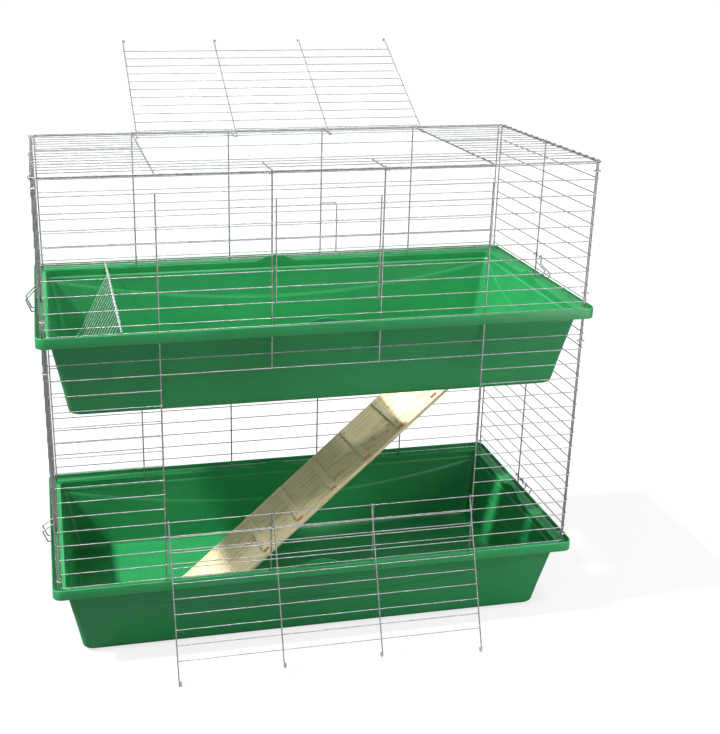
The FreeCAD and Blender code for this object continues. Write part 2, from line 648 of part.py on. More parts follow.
def build():
    lower_levels = [LOWER_EDGE] + LOWER_BARS
    upper_levels = UPPER_BARS + [UPPER_EDGE]
    lower_span = (LOWER_RIM - LEDGE_DEPTH, UPPER_RIM - LEDGE_DEPTH - PLASTIC)
    upper_span = (UPPER_RIM - LEDGE_DEPTH, UPRIGHT_TOP)
    top_grid, top_eyes = top_door()
    lower_grid, lower_eyes = lower_front_door()
    small_grid, small_eyes = upper_front_door()
    nodes = {
        "lower_tray": [tray(LOWER_RIM)],
        "upper_tray": [tray_with_ramp_hole()],
        "lower_front_panel": lower_front_wall(lower_levels, *lower_span),
        "upper_front_panel": upper_front_wall(upper_levels, *upper_span),
        "top_panel": top_panel(),
        "top_door": top_grid,
        "top_door_eyes": top_eyes,
        "lower_front_door": lower_grid,
        "lower_front_door_eyes": lower_eyes,
        "upper_front_door": small_grid,
        "upper_front_door_eyes": small_eyes,
        "upper_door_latch": latch(),
        "upper_door_latch_guides": latch_guides(),
        "top_panel_clips": top_clips(),
        "upper_corner_clips": corner_clips(clip_levels(UPPER_BARS)),
        "lower_corner_clips": corner_clips(clip_levels(LOWER_BARS)),
        "hay_rack": hay_rack(),
        "ramp_board": ramp_board(),
        "ramp_cleats": ramp_cleats(),
        "ramp_cleat_nails": ramp_nails(),
        "ramp_hook": ramp_hook(),
        "ramp_hook_screws": ramp_hook_screws(),
    }
    for side in ("back", "left", "right"):
        nodes["lower_" + side + "_panel"] = plain_wall(side, lower_levels, *lower_span)
        nodes["upper_" + side + "_panel"] = plain_wall(side, upper_levels, *upper_span)
    for sign, side in ((-1, "left"), (1, "right")):
        nodes["lower_" + side + "_bail"] = bail(sign, LOWER_BARS[14], LOWER_RIM)
        nodes["upper_" + side + "_bail"] = bail(sign, UPPER_BARS[8], UPPER_RIM)
    return nodes


def main():
    os.makedirs("parts", exist_ok=True)
    for name, solids in build().items():
        shape = solids[0] if len(solids) == 1 else Part.makeCompound(solids)
        shape.exportStep("parts/" + name + ".step")


main()
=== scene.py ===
import json
import math

import bmesh
import bpy
import numpy as np
from mathutils import Euler, Matrix, Vector


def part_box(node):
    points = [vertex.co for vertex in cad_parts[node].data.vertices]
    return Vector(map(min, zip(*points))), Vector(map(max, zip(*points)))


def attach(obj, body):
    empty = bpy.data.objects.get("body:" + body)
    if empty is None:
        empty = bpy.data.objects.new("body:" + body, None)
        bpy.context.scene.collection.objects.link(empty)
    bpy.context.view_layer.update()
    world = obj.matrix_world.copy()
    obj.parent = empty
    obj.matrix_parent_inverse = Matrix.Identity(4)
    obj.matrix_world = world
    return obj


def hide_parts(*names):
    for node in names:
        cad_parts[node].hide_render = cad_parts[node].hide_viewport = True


# Two-storey wire rabbit cage. Metres, +Z up, X along the cage, front towards -Y.

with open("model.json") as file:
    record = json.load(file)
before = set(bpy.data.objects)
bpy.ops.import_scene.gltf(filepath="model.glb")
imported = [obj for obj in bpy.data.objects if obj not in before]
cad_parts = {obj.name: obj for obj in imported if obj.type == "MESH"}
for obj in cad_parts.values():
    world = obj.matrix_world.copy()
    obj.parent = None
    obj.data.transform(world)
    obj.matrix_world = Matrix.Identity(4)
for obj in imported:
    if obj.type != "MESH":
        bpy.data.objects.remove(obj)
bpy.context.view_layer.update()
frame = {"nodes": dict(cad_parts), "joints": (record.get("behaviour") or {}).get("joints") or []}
MM = 0.001

# ---- driving sizes, read from the frame where it has them ----
JOINTS = {joint["name"]: joint for joint in frame["joints"]}
TRAY_LOW, TRAY_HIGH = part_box("lower_tray")
TRAY_LENGTH = TRAY_HIGH.x - TRAY_LOW.x
TRAY_WIDTH = TRAY_HIGH.y - TRAY_LOW.y
TAB_RISE = 4 * MM
TAB_HALF = 50 * MM
FOOT_HEIGHT = 4 * MM
TRAY_DEPTH = TRAY_HIGH.z - TAB_RISE - FOOT_HEIGHT
PLASTIC = 2.5 * MM
FLOOR_DEPTH = TRAY_DEPTH - PLASTIC

TUBE_SIDES = 12
END_CHAMFER = 0.3
BLOB_RINGS = 4
BLOB_SIDES = 8
LOOP_STEPS = 8
# A weld's half sizes along the two wires and between them, and its place, in radii of the thin wire.
WELD_REACH = (1.5, 1.35, 0.75)
WELD_PLACE = 0.9
TOUCHING = 0.3 * MM
THICKER = 1.05
STEEPEST_COSINE = 0.5
STOUT_SHARE = 0.9
EYE_SWEEP = math.radians(250)
EYE_STEPS = 20

# ---- mesh helpers ----


class Builder:
    """Collects the vertices and faces of one piece."""

    def __init__(self):
        self.points = []
        self.faces = []

    def ring(self, points):
        first = len(self.points)
        self.points.extend(tuple(p) for p in points)
        return list(range(first, first + len(points)))

    def skin(self, rings, capped=False):
        """Joins closed rings in their order, and closes the two ends if asked."""
        for ring_a, ring_b in zip(rings, rings[1:]):
            for i in range(len(ring_a)):
                j = (i + 1) % len(ring_a)
                self.faces.append((ring_a[i], ring_a[j], ring_b[j], ring_b[i]))
        if capped:
            self.faces.append(tuple(reversed(rings[0])))
            self.faces.append(tuple(rings[-1]))

    def tube(self, path, radius, sides=TUBE_SIDES):
        """Round wire along a path, with chamfered cut ends."""
        path = [Vector(p) for p in path]
        chamfer = radius * END_CHAMFER
        first_dir = (path[1] - path[0]).normalized()
        last_dir = (path[-1] - path[-2]).normalized()
        stations = [(path[0], radius - chamfer), (path[0] + first_dir * chamfer, radius)]
        stations += [(p, radius) for p in path[1:-1]]
        stations += [(path[-1] - last_dir * chamfer, radius), (path[-1], radius - chamfer)]
        side = first_dir.orthogonal().normalized()
        tangent = first_dir
        angles = [2 * math.pi * k / sides for k in range(sides)]
        rings = []
        for i, (place, size) in enumerate(stations):
            before = stations[max(i - 1, 0)][0]
            after = stations[min(i + 1, len(stations) - 1)][0]
            ahead = (after - before).normalized()
            side.rotate(tangent.rotation_difference(ahead))
            tangent = ahead
            side = (side - tangent * side.dot(tangent)).normalized()
            up = tangent.cross(side)
            rings.append(self.ring([place + (side * math.cos(a) + up * math.sin(a)) * size for a in angles]))
        self.skin(rings, capped=True)

    def blob(self, centre, axes):
        """Small rounded lump: the squeezed metal of a weld."""
        rings = []
        for step in range(1, BLOB_RINGS + 1):
            tilt = math.pi * step / (BLOB_RINGS + 1)
            points = []
            for k in range(BLOB_SIDES):
                turn = 2 * math.pi * k / BLOB_SIDES
                unit = (math.sin(tilt) * math.cos(turn), math.sin(tilt) * math.sin(turn), math.cos(tilt))
                points.append(centre + axes[0] * unit[0] + axes[1] * unit[1] + axes[2] * unit[2])
            rings.append(self.ring(points))
        self.skin(rings, capped=True)

    def piece(self, name, body, nodes, material, sharp=35, place=None):
        """Makes the object, on its body, instead of the CAD nodes it stands for."""
        mesh = bpy.data.meshes.new(name)
        mesh.from_pydata(self.points, [], self.faces)
        edit = bmesh.new()
        edit.from_mesh(mesh)
        bmesh.ops.recalc_face_normals(edit, faces=edit.faces)
        edit.to_mesh(mesh)
        edit.free()
        mesh.shade_smooth()
        mesh.set_sharp_from_angle(angle=math.radians(sharp))
        mesh.materials.append(material)
        item = bpy.data.objects.new(name, mesh)
        bpy.context.scene.collection.objects.link(item)
        if place is not None:
            item.matrix_world = place
        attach(item, body)
        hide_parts(*nodes)


def solids_of(node):
    """Point sets of the separate solids in a CAD node."""
    mesh = bmesh.new()
    mesh.from_mesh(frame["nodes"][node].data)
    bmesh.ops.remove_doubles(mesh, verts=mesh.verts, dist=1e-6)
    mesh.verts.index_update()
    seen = set()
    solids = []
    for start in mesh.verts:
        if start.index in seen:
            continue
        seen.add(start.index)
        stack = [start]
        points = []
        while stack:
            vert = stack.pop()
            points.append(vert.co[:])
            for edge in vert.link_edges:
                other = edge.other_vert(vert)
                if other.index not in seen:
                    seen.add(other.index)
                    stack.append(other)
        solids.append(np.array(points))
    mesh.free()
    return solids


def wires_of(node):
    """Axis ends and radius of every straight wire in a CAD node."""
    wires = []
    for points in solids_of(node):
        centre = points.mean(axis=0)
        axis = np.linalg.svd(points - centre, full_matrices=False)[2][0]
        along = (points - centre) @ axis
        off_axis = points - centre - np.outer(along, axis)
        radius = np.linalg.norm(off_axis, axis=1).max()
        wires.append((Vector(centre + axis * along.min()), Vector(centre + axis * along.max()), radius))
    return wires


def welds_between(wires):
    """Where a thin wire crosses and touches a thicker one: place, directions and radii."""
    welds = []
    for thin_start, thin_end, thin in wires:
        thin_dir = (thin_end - thin_start).normalized()
        for thick_start, thick_end, thick in wires:
            thick_dir = (thick_end - thick_start).normalized()
            if thick <= thin * THICKER or abs(thin_dir.dot(thick_dir)) > STEEPEST_COSINE:
                continue
            normal = thin_dir.cross(thick_dir).normalized()
            gap = thick_start - thin_start
            if abs(gap.dot(normal)) > thin + thick + TOUCHING:
                continue
            cross = thin_dir.cross(thick_dir).dot(normal)
            on_thin = gap.cross(thick_dir).dot(normal) / cross
            on_thick = gap.cross(thin_dir).dot(normal) / cross
            thin_limit = (thin_end - thin_start).length + TOUCHING
            thick_limit = (thick_end - thick_start).length + TOUCHING
            if -TOUCHING < on_thin < thin_limit and -TOUCHING < on_thick < thick_limit:
                side = normal if gap.dot(normal) > 0 else -normal
                place = thin_start + thin_dir * on_thin + side * thin * WELD_PLACE
                welds.append((place, thin_dir, thick_dir, side, thin))
    return welds


def add_welds(builder, wires):
    """A lump at every crossing, sized by the thin wire's radius."""
    for place, thin_dir, thick_dir, side, thin in welds_between(wires):
        axes = [axis * thin * reach for axis, reach in zip((thin_dir, thick_dir, side), WELD_REACH)]
        builder.blob(place, axes)


def arc_points(centre, axis, start, sweep, steps):
    """Points round a centre, from the offset start, turned about an axis."""
    return [centre + Matrix.Rotation(sweep * i / steps, 3, axis) @ start for i in range(steps + 1)]


# ---- node helpers for materials ----


class Finish:
    """A procedural material built from a Principled shader."""

    def __init__(self, name, **constants):
        self.material = bpy.data.materials.new(name)
        self.material.use_nodes = True
        self.tree = self.material.node_tree
        self.shader = self.tree.nodes["Principled BSDF"]
        for socket, value in constants.items():
            self.shader.inputs[socket.replace("_", " ")].default_value = value
        self.place = self.node("ShaderNodeTexCoord").outputs["Object"]

    def node(self, kind, **settings):
        made = self.tree.nodes.new(kind)
        for name, value in settings.items():
            setattr(made, name, value)
        return made

    def plug(self, source, target):
        self.tree.links.new(source, target)

    def stretched(self, scale, turn=(0, 0, 0), shift=(0, 0, 0)):
        mapping = self.node("ShaderNodeMapping")
        mapping.inputs["Scale"].default_value = scale
        mapping.inputs["Rotation"].default_value = turn
        mapping.inputs["Location"].default_value = shift
        self.plug(self.place, mapping.inputs["Vector"])
        return mapping.outputs["Vector"]

    def noise(self, scale, detail=3, roughness=0.5, place=None, distortion=0):
        made = self.node("ShaderNodeTexNoise")
        made.inputs["Scale"].default_value = scale
        made.inputs["Detail"].default_value = detail
        made.inputs["Roughness"].default_value = roughness
        made.inputs["Distortion"].default_value = distortion
        self.plug(place or self.place, made.inputs["Vector"])
        return made.outputs["Fac"]

    def ramp(self, source, stops):
        made = self.node("ShaderNodeValToRGB")
        elements = made.color_ramp.elements
        elements[0].position, elements[0].color = stops[0]
        elements[1].position, elements[1].color = stops[-1]
        for position, colour in stops[1:-1]:
            elements.new(position).color = colour
        self.plug(source, made.inputs["Fac"])
        return made.outputs["Color"]

    def mix(self, factor, colour_a, colour_b, blend="MIX"):
        made = self.node("ShaderNodeMix", data_type="RGBA", blend_type=blend)
        for socket, value in ((0, factor), (6, colour_a), (7, colour_b)):
            if isinstance(value, bpy.types.NodeSocket):
                self.plug(value, made.inputs[socket])
            else:
                made.inputs[socket].default_value = value
        return made.outputs[2]

    def levels(self, source, low, high):
        """Maps a grey source from 0..1 to low..high."""
        made = self.node("ShaderNodeMapRange")
        made.inputs["To Min"].default_value = low
        made.inputs["To Max"].default_value = high
        self.plug(source, made.inputs["Value"])
        return made.outputs["Result"]

    def colour(self, source):
        self.plug(source, self.shader.inputs["Base Color"])

    def roughness(self, source):
        self.plug(source, self.shader.inputs["Roughness"])

    def bump(self, *layers):
        """Bump from (height, distance) layers."""
        last = None
        for height, distance in layers:
            made = self.node("ShaderNodeBump")
            made.inputs["Distance"].default_value = distance
            self.plug(height, made.inputs["Height"])
            if last is not None:
                self.plug(last, made.inputs["Normal"])
            last = made.outputs["Normal"]
        self.plug(last, self.shader.inputs["Normal"])


def grey(value):
    return (value, value, value, 1)


def green_plastic():
    """Moulded plastic: broad tone, fine scratches two ways, and a painted glow that pales the edges."""
    finish = Finish("green_plastic", IOR=1.49, Subsurface_Weight=0.12, Subsurface_Scale=0.006)
    finish.shader.inputs["Subsurface Radius"].default_value = (0.25, 1.0, 0.45)
    cloud = finish.noise(5, 4, 0.55)
    base = finish.ramp(cloud, [(0.3, (0.020, 0.255, 0.075, 1)), (0.7, (0.027, 0.315, 0.10, 1))])
    scratch_a = finish.noise(60, 2, 0.6, finish.stretched((1, 22, 22), (0, 0, 0.35)))
    scratch_b = finish.noise(70, 2, 0.6, finish.stretched((20, 1, 20), (0, 0, -0.25)))
    marks_a = finish.ramp(scratch_a, [(0.66, grey(0)), (0.70, grey(1))])
    marks_b = finish.ramp(scratch_b, [(0.67, grey(0)), (0.71, grey(1))])
    marks = finish.mix(1.0, marks_a, marks_b, "ADD")
    worn = finish.mix(finish.levels(marks, 0, 0.28), base, (0.08, 0.47, 0.20, 1))
    # Painted glow: sharp edges are mixed towards a paler green, standing in for light shining through the
    # thin plastic there.
    edge = finish.ramp(finish.node("ShaderNodeNewGeometry").outputs["Pointiness"],
                       [(0.52, grey(0)), (0.60, grey(1))])
    finish.colour(finish.mix(finish.levels(edge, 0, 0.5), worn, (0.07, 0.56, 0.22, 1)))
    patches = finish.noise(26, 4, 0.6)
    finish.roughness(finish.levels(finish.mix(0.35, patches, marks), 0.24, 0.46))
    grain = finish.noise(900, 2, 0.5)
    ripple = finish.noise(9, 2, 0.4)
    finish.bump((ripple, 0.0016), (grain, 0.00006), (marks, 0.00003))
    return finish.material


def bright_wire(name, light, dark, rough):
    """Zinc-coated steel with a patchy bloom."""
    finish = Finish(name, Metallic=1.0)
    patina = finish.noise(140, 4, 0.65)
    finish.colour(finish.ramp(patina, [(0.35, dark), (0.62, light)]))
    bloom = finish.noise(420, 3, 0.6)
    finish.roughness(finish.levels(bloom, rough - 0.1, rough + 0.14))
    runs = finish.noise(900, 3, 0.6)
    finish.bump((runs, 0.00012))
    return finish.material


def pine(name, early, late, shade, ring_scale, shift, end_grain):
    """Planed softwood with its grain along the local X axis, darker where it is cut across."""
    finish = Finish(name, IOR=1.5)
    figure = finish.noise(3.2, 3, 0.5, finish.stretched((2.2, 9, 9), (0, 0, 0), shift), 0.6)
    warp = finish.levels(figure, -1, 1)
    rings = finish.node("ShaderNodeTexWave", wave_type="RINGS", rings_direction="X", wave_profile="SAW")
    rings.inputs["Scale"].default_value = ring_scale
    rings.inputs["Distortion"].default_value = 9
    rings.inputs["Detail"].default_value = 2
    rings.inputs["Detail Scale"].default_value = 1.1
    rings.inputs["Detail Roughness"].default_value = 0.5
    finish.plug(finish.stretched((0.55, 1.6, 1), (0.05, 0.03, 0.02), shift), rings.inputs["Vector"])
    finish.plug(warp, rings.inputs["Phase Offset"])
    bands = finish.ramp(rings.outputs["Fac"], [(0.0, early), (0.72, early), (0.93, late), (1.0, early)])
    fibre = finish.noise(30, 5, 0.7, finish.stretched((3, 60, 60)))
    tone = finish.mix(finish.levels(fibre, 0.0, 0.55), bands, shade, "MULTIPLY")
    blotch = finish.noise(7, 3, 0.5, finish.stretched((1, 3, 3)))
    body = finish.mix(finish.levels(blotch, 0, 0.35), tone, late)
    normal = finish.node("ShaderNodeVectorTransform", vector_type="NORMAL", convert_from="WORLD",
                         convert_to="OBJECT")
    finish.plug(finish.node("ShaderNodeNewGeometry").outputs["Normal"], normal.inputs["Vector"])
    apart = finish.node("ShaderNodeSeparateXYZ")
    finish.plug(normal.outputs["Vector"], apart.inputs["Vector"])
    facing = finish.node("ShaderNodeMath", operation="ABSOLUTE")
    finish.plug(apart.outputs["X"], facing.inputs[0])
    cut = finish.ramp(facing.outputs["Value"], [(0.6, grey(0)), (0.8, grey(1))])
    body = finish.mix(cut, body, end_grain)
    finish.colour(body)
    finish.roughness(finish.levels(fibre, 0.52, 0.74))
    finish.bump((rings.outputs["Fac"], 0.00012), (fibre, 0.00022))
    return finish.material


PLASTIC_GREEN = green_plastic()
WIRE = bright_wire("galvanised_wire", (0.58, 0.575, 0.59, 1), (0.34, 0.33, 0.345, 1), 0.34)
# Painted light: the hay rack gets a paler, rougher copy of the galvanised wire, brightened so it looks lit
# inside the tray.
PAINTED_LIT_RACK_WIRE = bright_wire("rack_wire", (0.93, 0.93, 0.94, 1), (0.70, 0.70, 0.71, 1), 0.50)
CLIP = bright_wire("clip_wire", (0.84, 0.84, 0.85, 1), (0.58, 0.57, 0.58, 1), 0.26)
NAIL = bright_wire("nail_steel", (0.60, 0.58, 0.55, 1), (0.34, 0.32, 0.30, 1), 0.34)
HOOK = bright_wire("hook_steel", (0.66, 0.66, 0.67, 1), (0.40, 0.40, 0.41, 1), 0.32)
BOARD = pine("pine_board", (0.90, 0.80, 0.54, 1), (0.66, 0.47, 0.23, 1), (0.90, 0.84, 0.72, 1), 16,
             (0.1, 0.05, -0.11), (0.50, 0.27, 0.11, 1))
CLEAT = pine("pine_cleat", (0.92, 0.83, 0.60, 1), (0.74, 0.56, 0.32, 1), (0.92, 0.87, 0.77, 1), 30,
             (0.3, 0.02, -0.06), (0.52, 0.24, 0.09, 1))


# ---- panels: straight wires, with a weld at every crossing ----

PANELS = [storey + "_" + side + "_panel" for storey in ("lower", "upper")
          for side in ("back", "left", "right")]
PANELS += ["lower_front_panel", "top_panel"]


def make_panel(node):
    wires = wires_of(node)
    builder = Builder()
    for start, end, radius in wires:
        builder.tube([start, end], radius)
    add_welds(builder, wires)
    builder.piece(node + "_wires", "cage", [node], WIRE)


MIDDLE_UPRIGHT_REACH = 200 * MM
HOOK_GAP = 0.15 * MM
HOOK_STEPS = 10
HOOK_TAIL = 6 * MM
JOGGLE_START = 16 * MM
JOGGLE_END = 8 * MM


def make_upper_front_panel():
    """The two middle uprights hook over the top panel's edge wire."""
    node = "upper_front_panel"
    wires = wires_of(node)
    edge = min((w for w in wires_of("top_panel") if abs((w[1] - w[0]).normalized().x) > 0.9),
               key=lambda w: w[0].y + w[0].z)
    height = max(max(start.z, end.z) for start, end, radius in wires)
    builder = Builder()
    for start, end, radius in wires:
        low, high = sorted((start, end), key=lambda p: p.z)
        upright = (high - low).normalized().z > 0.9 and high.z > height - MM
        if upright and abs(high.x) < MIDDLE_UPRIGHT_REACH:
            hook_radius = edge[2] + radius + HOOK_GAP
            centre = Vector((high.x, edge[0].y, edge[0].z))
            inside = centre + Vector((0, hook_radius, 0))
            over = arc_points(centre, Vector((1, 0, 0)), Vector((0, hook_radius, 0)), math.pi, HOOK_STEPS)
            tail = over[-1] - Vector((0, 0, HOOK_TAIL))
            joggle = [Vector((high.x, low.y, inside.z - JOGGLE_START)),
                      Vector((high.x, inside.y, inside.z - JOGGLE_END))]
            builder.tube([low] + joggle + over + [tail], radius)
        else:
            builder.tube([start, end], radius)
    add_welds(builder, wires)
    builder.piece(node + "_wires", "cage", [node], WIRE)


for panel in PANELS:
    make_panel(panel)
make_upper_front_panel()


# ---- doors: each stout wire is one length, from its hinge eye to its tip, folded back on the top and lower front doors ----


FOLD_TURN = 1.25
FOLD_STEPS = 8


def fold_tip(end, along, sideways, radius, length):
    """Points of a tip bent back on itself, beside the wire."""
    turn = radius * FOLD_TURN
    centre = end - along * (turn + radius) + sideways * turn
    bend = []
    for i in range(FOLD_STEPS + 1):
        angle = math.pi * i / FOLD_STEPS
        bend.append(centre - sideways * turn * math.cos(angle) + along * turn * math.sin(angle))
    return bend + [bend[-1] - along * length]


def make_door(node, body, joint, fold):
    """fold is the length of the folded tips, or None where the wires are cut straight."""
    hinge = JOINTS[joint]
    wires = wires_of(node)
    stout = max(radius for start, end, radius in wires)
    builder = Builder()
    for start, end, radius in wires:
        if radius < stout * STOUT_SHARE:
            builder.tube([start, end], radius)
            continue
        centre = Vector((start.x, hinge["pos_m"][1], hinge["pos_m"][2]))
        near, far = sorted((start, end), key=lambda p: (p - centre).length)
        along = (far - near).normalized()
        axis = Vector((1, 0, 0))
        if axis.cross(near - centre).dot(along) > 0:
            axis = -axis
        eye = arc_points(centre, axis, near - centre, EYE_SWEEP, EYE_STEPS)
        path = list(reversed(eye))
        if fold is None:
            path.append(far)
        else:
            sideways = Vector((-math.copysign(1, far.x), 0, 0))
            path += fold_tip(far, along, sideways, radius, fold)
        builder.tube(path, radius)
    add_welds(builder, wires)
    builder.piece(node + "_wires", body, [node, node + "_eyes"], WIRE)


make_door("top_door", "top_door", "top_door_hinge", 7 * MM)
make_door("lower_front_door", "lower_front_door", "lower_front_door_hinge", 8 * MM)
make_door("upper_front_door", "upper_front_door", "upper_front_door_hinge", None)


# ---- hay rack: slats wrapped over the top wire and welded to the foot wire ----


WRAP_SWEEP = math.radians(205)
WRAP_STEPS = 14


def make_hay_rack():
    wires = wires_of("hay_rack")
    stout = max(radius for start, end, radius in wires)
    rails = sorted((w for w in wires if w[2] > stout * STOUT_SHARE), key=lambda w: w[0].z)
    top = rails[-1]
    builder = Builder()
    for start, end, radius in rails:
        builder.tube([start, end], radius)
    for start, end, radius in wires:
        if radius > stout * STOUT_SHARE:
            continue
        low, high = sorted((start, end), key=lambda p: p.z)
        along = (low - high).normalized()
        centre = Vector((top[0].x, high.y, top[0].z))
        offset = high - centre
        axis = Vector((0, 1, 0))
        if axis.cross(offset).dot(along) > 0:
            axis = -axis
        wrap = arc_points(centre, axis, offset, WRAP_SWEEP, WRAP_STEPS)
        builder.tube(list(reversed(wrap)) + [low], radius)
    add_welds(builder, wires)
    builder.piece("hay_rack_wires", "hay_rack", ["hay_rack"], PAINTED_LIT_RACK_WIRE)


make_hay_rack()


# ---- trays ----

# Lengths of the profile are in millimetres, inwards from the rim's outer face and down from the rim.
WALL = PLASTIC / MM
UNDERSIDE = TRAY_DEPTH / MM
LEDGE_INNER = 26.5
LEDGE_DEPTH = 12.4
UPSTAND_DEPTH = 11.0
BAND_DEPTH = 23.0
NECK_DEPTH = 27.0
FLOOR_MARGIN = 90.0
WALL_SLOPE = 0.19
# Profile corners from the inside of the floor, over the rim, to the underside:
# inset, depth, fillet, plan corner radius, share of the tab's lift.
PROFILE_INSIDE = [(FLOOR_MARGIN, UNDERSIDE - WALL, 0, 12, 0), (61.6, UNDERSIDE - WALL, 10, 17.5, 0)]
PROFILE_RIM = [
    (31.7, 30.8, 2, 12.5, 0), (LEDGE_INNER + WALL, NECK_DEPTH, 2, 12.5, 0),
    (LEDGE_INNER + WALL, UPSTAND_DEPTH, 1.1, 12.5, 1), (LEDGE_INNER, UPSTAND_DEPTH, 1.1, 15, 1),
    (LEDGE_INNER, LEDGE_DEPTH, 0.3, 15, 0), (WALL, LEDGE_DEPTH, 2.5, 17.5, 0),
    (WALL, 0, 1.1, 17.5, 0), (0, 0, 1.1, 20, 0),
    (0, BAND_DEPTH, 1.0, 20, 0), (WALL, BAND_DEPTH, 1.0, 17.5, 0),
    (WALL, LEDGE_DEPTH + WALL, 1.5, 17.5, 0), (LEDGE_INNER, LEDGE_DEPTH + WALL, 1.5, 15, 0),
    (LEDGE_INNER, NECK_DEPTH, 2, 15, 0), (29.2, 30.8, 2, 15, 0),
]
PROFILE_OUTSIDE = [(59.6, UNDERSIDE, 12, 20, 0), (FLOOR_MARGIN, UNDERSIDE, 0, 14, 0)]
WALL_INSET_INSIDE = 31.5
WALL_INSET_OUTSIDE = 29.0
WALL_CORNER_INSIDE = 12.5
WALL_CORNER_OUTSIDE = 15.0
WALL_CORNER_GROWTH = 5.0
WALL_INSET_DEPTH = 30.0
WALL_TOP = 33.0
WALL_FOOT = 170.0
# An embossed arc runs along each wall, from this depth at the corners to that at the middle.
ARC_END = 36.0
ARC_MIDDLE = 98.0
ARC_HALF_HEIGHT = 1.0
ARC_STEP = 1.1
ARC_FADE = 4
WALL_BULGE = 1.2
WALL_ROWS = (0.0, 0.25, 0.5, 0.75, 0.93)
TAB_SHARPNESS = 1.3
TAB_MARGIN = 1.06
TAB_POINTS = 33
SHORT_SIDE_POINTS = 15
LONG_SIDE_POINTS = 25
CORNER_START = 56 * MM
CORNER_POINTS = 8


def fillet_profile(corners, steps=4):
    """Rounds a profile. Each corner is a point, its fillet, and any values that its points keep."""
    places = []
    for i, (across, down, fillet, *kept) in enumerate(corners):
        here = Vector((across, down))
        if fillet == 0 or i in (0, len(corners) - 1):
            places.append((across, down, *kept))
            continue
        back = (Vector(corners[i - 1][:2]) - here).normalized()
        ahead = (Vector(corners[i + 1][:2]) - here).normalized()
        half = math.acos(max(-1, min(1, back.dot(ahead)))) / 2
        cut = fillet / math.tan(half)
        inward = (back + ahead).normalized()
        centre = here + inward * fillet / math.sin(half)
        start = here + back * cut - centre
        end = here + ahead * cut - centre
        sweep = math.atan2(start.x * end.y - start.y * end.x, start.dot(end))
        for k in range(steps + 1):
            turn = sweep * k / steps
            x = start.x * math.cos(turn) - start.y * math.sin(turn)
            y = start.x * math.sin(turn) + start.y * math.cos(turn)
            places.append((centre.x + x, centre.y + y, *kept))
    return places


def plan_points():
    """One row for each point of a tray's plan.

    Its x and y are both a * (half size - inset) - b * corner radius. The row holds a and b of x, a and b
    of y, and how far along its side the point is, as a share and as a length.
    """
    rows = []
    half = {"x": TRAY_LENGTH / 2, "y": TRAY_WIDTH / 2}
    for quarter in range(4):
        runs_along_y = quarter % 2 == 0
        reach = half["y" if runs_along_y else "x"] - CORNER_START
        tab = TAB_HALF * TAB_MARGIN / reach
        outer = np.linspace(-1, -tab, SHORT_SIDE_POINTS if runs_along_y else LONG_SIDE_POINTS)[:-1]
        middle = np.linspace(-tab, tab, TAB_POINTS)
        places = np.concatenate([outer, middle, -outer[::-1]])
        sign = 1 if quarter in (0, 1) else -1
        direction = 1 if quarter in (0, 3) else -1
        for place in places:
            u = place * direction
            if runs_along_y:
                rows.append((sign, 0, u, u, abs(place), place * reach))
            else:
                rows.append((u, u, sign, 0, abs(place), place * reach))
        corner_x = (1, -1, -1, 1)[quarter]
        corner_y = (1, 1, -1, -1)[quarter]
        for k in range(1, CORNER_POINTS + 1):
            angle = math.pi / 2 * (quarter + k / (CORNER_POINTS + 1))
            rows.append((corner_x, corner_x * (1 - abs(math.cos(angle))), corner_y,
                         corner_y * (1 - abs(math.sin(angle))), 1.0, reach))
    return np.array(rows)


def tray_rings(rim_z):
    """Every ring of the tray's skin, from the inside of the floor to the underside."""
    a_x, b_x, a_y, b_y, span, along = plan_points().T
    arc_depth = ARC_END + (ARC_MIDDLE - ARC_END) * (1 - span ** 2)
    tab_shape = np.clip(1 - (along / TAB_HALF) ** 2, 0, 1) ** TAB_SHARPNESS
    tab_lift = tab_shape * (TAB_RISE / MM + UPSTAND_DEPTH)
    rings = []

    def add(inset, depth, corner):
        x = a_x * (TRAY_LENGTH / 2 - inset * MM) - b_x * corner * MM
        y = a_y * (TRAY_WIDTH / 2 - inset * MM) - b_y * corner * MM
        z = rim_z - depth * MM
        rings.append(np.column_stack([x, y, np.broadcast_to(z, x.shape)]))

    def add_profile(corners):
        for inset, depth, corner, lift in corners:
            add(inset, depth - lift * tab_lift, corner)

    def add_wall(offset, corner, rising):
        """Rows of a drafted wall: zone -1 under the embossed arc, 0 across its step, 1 above it."""
        rows = [(-1, t) for t in WALL_ROWS] + [(0, -1), (0, 1)] + [(1, t) for t in reversed(WALL_ROWS)]
        for zone, t in rows if rising else reversed(rows):
            if zone == 0:
                depth = arc_depth - t * ARC_HALF_HEIGHT
                step = t * ARC_STEP / 2
            elif zone < 0:
                depth = WALL_FOOT + (arc_depth + ARC_HALF_HEIGHT - WALL_FOOT) * t
                step = -ARC_STEP / 2 * min(1, t * ARC_FADE)
            else:
                depth = WALL_TOP + (arc_depth - ARC_HALF_HEIGHT - WALL_TOP) * t
                step = ARC_STEP / 2 * min(1, t * ARC_FADE)
            level = (depth - WALL_TOP) / (WALL_FOOT - WALL_TOP)
            bulge = WALL_BULGE * (1 - span ** 2) * np.sin(math.pi * level)
            inset = offset + WALL_SLOPE * (depth - WALL_INSET_DEPTH) - step - bulge
            add(inset, depth, corner + WALL_CORNER_GROWTH * level)

    inside = fillet_profile(PROFILE_INSIDE + PROFILE_RIM[:1])[:-1]
    rim = fillet_profile([PROFILE_INSIDE[-1]] + PROFILE_RIM + [PROFILE_OUTSIDE[0]])[1:-1]
    outside = fillet_profile(PROFILE_RIM[-1:] + PROFILE_OUTSIDE)[1:]
    add_profile(inside)
    add_wall(WALL_INSET_INSIDE, WALL_CORNER_INSIDE, True)
    add_profile(rim)
    add_wall(WALL_INSET_OUTSIDE, WALL_CORNER_OUTSIDE, False)
    add_profile(outside)
    return rings


